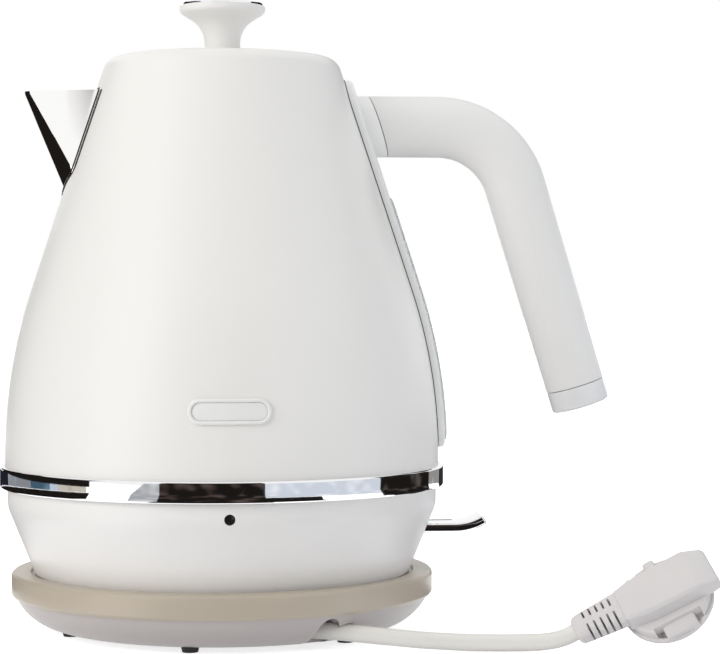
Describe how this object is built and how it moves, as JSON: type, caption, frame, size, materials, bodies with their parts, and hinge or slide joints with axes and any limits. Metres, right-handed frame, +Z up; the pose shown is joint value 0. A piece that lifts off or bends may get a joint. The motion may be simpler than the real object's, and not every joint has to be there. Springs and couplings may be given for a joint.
{
  "type": "electric jug kettle",
  "caption": "Cordless electric jug kettle with a tapered body, V-shaped beak spout, open bent handle, lift-out lid and rocker switch, standing on a round corded power base.",
  "frame": {"origin": "on the table under the kettle's axis", "axes": "+Z up along the kettle's axis, +X towards the handle, -Y towards the front with the badge"},
  "size_m": [0.2709, 0.1779, 0.25],
  "materials": {
    "body_paint": "warm white satin enamel",
    "lid_paint": "warm white satin enamel",
    "white_plastic": "white moulding, satin",
    "grip_white": "off-white soft touch",
    "cap_white": "off-white, a little glossier than the grip",
    "base_greige": "greige moulding, satin",
    "chrome": "polished plating",
    "polished_steel": "polished steel",
    "inner_steel": "brushed stainless steel",
    "badge_satin": "satin, blank",
    "alloy": "as cast",
    "screw_steel": "zinc plated",
    "contact_brass": "bare",
    "pin_nickel": "nickel plated",
    "black_insulation": "black moulding",
    "shutter_plastic": "natural moulding",
    "foot_rubber": "black rubber",
    "seal_silicone": "translucent grey silicone",
    "cord_pvc": "warm white flexible sheath",
    "plug_white": "warm white moulding",
    "clear_window": "clear moulding with a white backing",
    "lens_dark": "dark tinted",
    "lamp_red": "tinted",
    "filter_plastic": "white moulding"
  },
  "bodies": {
    "power_base": {"base_feet": "foot_rubber", "base_dish": "white_plastic", "base_top_plate": "base_greige", "base_screws": "screw_steel", "base_connector": "black_insulation", "base_contacts": "contact_brass", "cord_clamp": "shutter_plastic", "base_leads": "cord_pvc", "mains_cord": "cord_pvc", "plug_relief": "cord_pvc", "plug_body": "plug_white", "plug_pins": "pin_nickel", "plug_earth_clips": "pin_nickel"},
    "coupling_ring": {"connector_shutter": "shutter_plastic"},
    "kettle": {"bottom_cover": "white_plastic", "skirt_screws": "screw_steel", "kettle_socket": "black_insulation", "coupler_contacts": "contact_brass", "lower_skirt": "white_plastic", "indicator_lens": "lens_dark", "indicator_lamp": "lamp_red", "chrome_band": "chrome", "thermostat_controller": "black_insulation", "controller_screws": "screw_steel", "heating_element": "alloy", "heat_diffuser": "alloy", "heating_plate": "inner_steel", "vessel_seal": "seal_silicone", "steam_tube": "inner_steel", "upper_shell": "body_paint", "spout": "polished_steel", "filter_frame": "filter_plastic", "filter_mesh": "inner_steel", "spine_panel": "white_plastic", "gauge_window": "clear_window", "handle_bracket": "inner_steel", "handle_root_collar": "grip_white", "handle_grip": "grip_white", "handle_end_cap": "cap_white", "badge_rim": "badge_satin", "badge_plate": "badge_satin", "switch_pin": "screw_steel"},
    "lever": {"switch_lever": "chrome", "switch_arm": "black_insulation"},
    "lid": {"lid_liner": "inner_steel", "lid_seal": "seal_silicone", "lid_cover": "lid_paint", "lid_screw": "screw_steel", "knob": "grip_white", "knob_cap": "chrome"}
  },
  "joints": [
    {"name": "swivel", "type": "hinge", "parent": "power_base", "child": "coupling_ring", "pos_m": [0, 0, 0.027], "axis": [0, 0, 1], "continuous": true},
    {"name": "lift", "type": "slide", "parent": "coupling_ring", "child": "kettle", "axis": [0, 0, 1], "range_m": [0, 0.08]},
    {"name": "lid_lift", "type": "slide", "parent": "kettle", "child": "lid", "axis": [0, 0, 1], "range_m": [0, 0.05]},
    {"name": "switch_press", "type": "hinge", "parent": "kettle", "child": "lever", "pos_m": [0.07108, 0, 0.0397], "axis": [0, 1, 0], "range_deg": [0, 14]}
  ]
}
